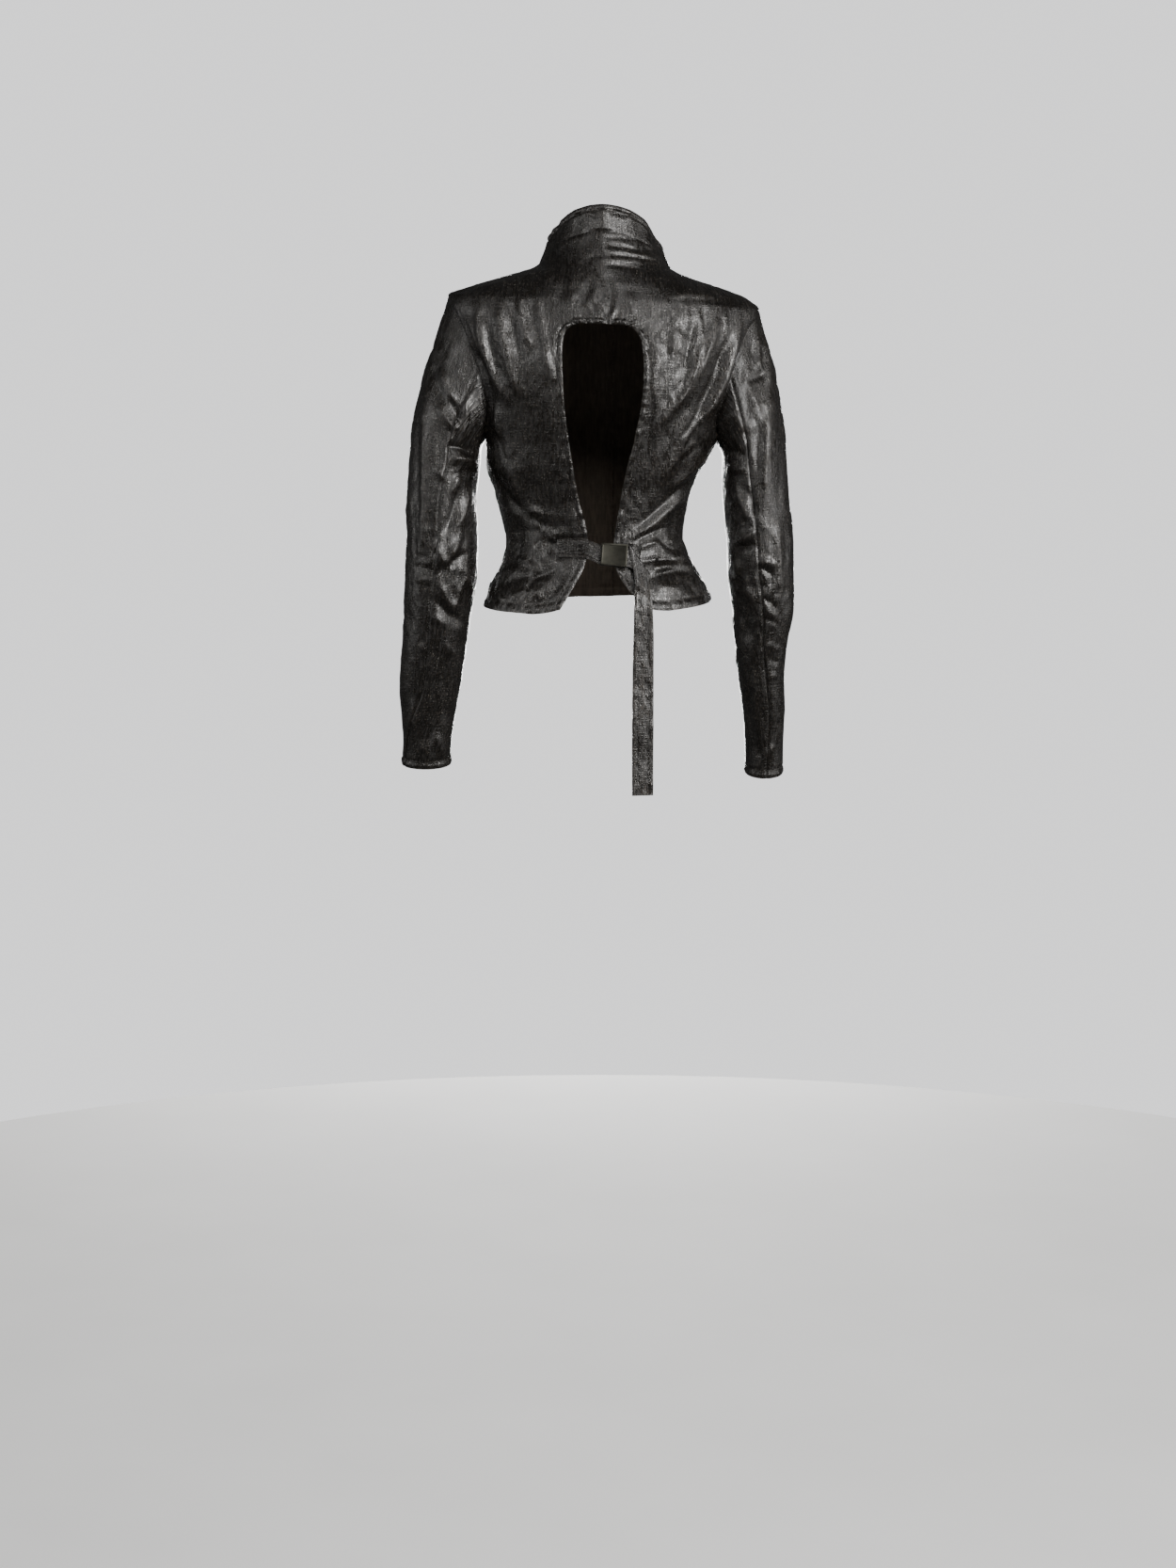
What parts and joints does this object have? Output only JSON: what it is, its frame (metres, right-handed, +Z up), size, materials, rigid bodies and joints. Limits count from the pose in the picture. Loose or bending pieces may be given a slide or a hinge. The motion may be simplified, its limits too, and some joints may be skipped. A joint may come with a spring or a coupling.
{
  "type": "blazer",
  "caption": "Cropped stand-collar blazer in coated linen with an open back, a buckled back belt and a long hanging strap tail.",
  "frame": {"origin": "between the wearer's shoulders, level with the base of the neck, where the worn garment is held", "axes": "+Z up, +Y out of the back, +X to the wearer's left; the fronts face -Y"},
  "size_m": [0.5178, 0.2265, 0.7521],
  "materials": {
    "coated_linen": "waxed sheen, slubby weave",
    "gunmetal": "brushed, darkened",
    "horn_button": "dark satin"
  },
  "bodies": {
    "root": {"back": "coated_linen", "front_left": "coated_linen", "front_right": "coated_linen", "collar": "coated_linen", "sleeve_left_top": "coated_linen", "sleeve_left_under": "coated_linen", "sleeve_right_top": "coated_linen", "sleeve_right_under": "coated_linen", "belt_strap": "coated_linen", "belt_tab": "coated_linen", "buckle_channel": "gunmetal", "buckle_cover": "gunmetal", "button_1": "horn_button", "button_2": "horn_button", "button_3": "horn_button", "button_4": "horn_button", "button_5": "horn_button"}
  },
  "joints": []
}
